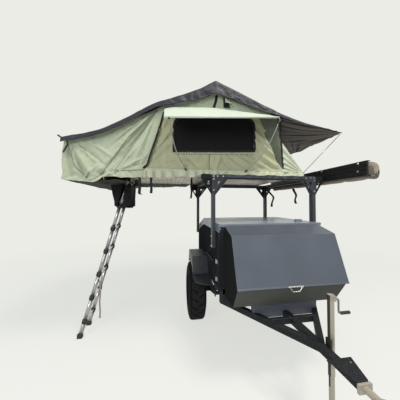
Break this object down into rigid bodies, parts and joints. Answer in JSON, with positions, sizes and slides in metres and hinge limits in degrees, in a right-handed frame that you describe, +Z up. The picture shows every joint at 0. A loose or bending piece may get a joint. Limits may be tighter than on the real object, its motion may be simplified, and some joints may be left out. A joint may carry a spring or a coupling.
{
  "type": "off-road camping trailer with roof-top tent",
  "caption": "Single-axle box trailer with a folded nose box, post rack, opened roof-top tent with annex and ladder, and a side awning case.",
  "frame": {"origin": "on the ground, in the middle of the overall outline in X and Y", "axes": "+X towards the towing eye, +Y to the trailer's left side, +Z up"},
  "size_m": [3.2588, 3.3106, 3.0331],
  "materials": {
    "slate_paint": "satin",
    "lid_paint": "satin",
    "black_paint": "satin",
    "zinc": "satin",
    "bright_steel": "satin",
    "aluminium": "satin",
    "awning_black": "satin",
    "tyre_rubber": "matte",
    "canvas_sage": "matte",
    "fly_charcoal": "matte",
    "black_cloth": "matte",
    "bag_taupe": "matte",
    "lamp_red": "gloss",
    "grip_black": "matte"
  },
  "bodies": {
    "frame": {"frame_rails": "black_paint", "cross_members": "black_paint", "drawbar_spine": "black_paint", "coupling": "zinc", "jack_body": "zinc", "jack_crank": "grip_black", "axle": "black_paint", "tub": "slate_paint", "door_hinges": "bright_steel", "nose_box": "slate_paint", "rack_posts": "black_paint", "rack_beams": "black_paint", "rack_gussets": "black_paint", "awning_case": "awning_black", "awning_bag": "bag_taupe", "base_fixed": "aluminium", "base_fold": "aluminium", "tent_bows": "aluminium", "canopy_front": "canvas_sage", "canopy_rear": "canvas_sage", "canopy_roof": "canvas_sage", "canopy_ends": "canvas_sage", "window_mesh": "black_cloth", "annex_walls": "canvas_sage", "annex_floor": "black_cloth", "fly_sheet": "fly_charcoal", "window_flap": "canvas_sage", "tent_rods": "aluminium", "ladder_skirt": "black_cloth", "lamps": "lamp_red", "leaf_spring_right": "black_paint", "spring_mounts_right": "black_paint", "fender_right": "slate_paint", "leaf_spring_left": "black_paint", "spring_mounts_left": "black_paint", "fender_left": "slate_paint"},
    "wheel_right": {"wheel_right": "black_paint", "tyre_right": "tyre_rubber"},
    "wheel_left": {"wheel_left": "black_paint", "tyre_left": "tyre_rubber"},
    "nose_lid": {"nose_lid": "lid_paint"},
    "top_lid": {"top_lid": "lid_paint"},
    "tailgate": {"tailgate": "slate_paint", "tailgate_trim": "bright_steel"},
    "door_right": {"door_right": "slate_paint", "door_trim_right": "bright_steel"},
    "door_left": {"door_left": "slate_paint", "door_trim_left": "bright_steel"},
    "jack_leg": {"jack_leg": "zinc"},
    "ladder": {"ladder_rails": "aluminium", "ladder_rungs": "aluminium"}
  },
  "joints": [
    {"name": "wheel_right_turn", "type": "hinge", "parent": "frame", "child": "wheel_right", "pos_m": [-0.6376, -0.1836, 0.395], "axis": [0, 1, 0], "continuous": true},
    {"name": "wheel_left_turn", "type": "hinge", "parent": "frame", "child": "wheel_left", "pos_m": [-0.6376, 1.3124, 0.395], "axis": [0, 1, 0], "continuous": true},
    {"name": "nose_lid_open", "type": "hinge", "parent": "frame", "child": "nose_lid", "pos_m": [0.3254, 0.5644, 1.397], "axis": [0, -1, 0], "range_deg": [0, 75]},
    {"name": "top_lid_open", "type": "hinge", "parent": "frame", "child": "top_lid", "pos_m": [0.2964, 0.5644, 1.3847], "axis": [0, 1, 0], "range_deg": [0, 20]},
    {"name": "tailgate_drop", "type": "hinge", "parent": "frame", "child": "tailgate", "pos_m": [-1.3239, 0.5644, 0.792], "axis": [0, -1, 0], "range_deg": [0, 90]},
    {"name": "door_right_open", "type": "hinge", "parent": "frame", "child": "door_right", "pos_m": [0.2304, -0.0569, 0.95], "axis": [0, 0, 1], "range_deg": [0, 110]},
    {"name": "door_left_open", "type": "hinge", "parent": "frame", "child": "door_left", "pos_m": [0.2304, 1.1857, 0.95], "axis": [0, 0, -1], "range_deg": [0, 110]},
    {"name": "jack_leg_raise", "type": "slide", "parent": "frame", "child": "jack_leg", "axis": [0, 0, 1], "range_m": [0, 0.3]},
    {"name": "ladder_swing", "type": "hinge", "parent": "frame", "child": "ladder", "pos_m": [-0.5176, -1.0956, 1.93], "axis": [-1, 0, 0], "range_deg": [0, 45], "deforming": ["ladder_skirt"]}
  ]
}
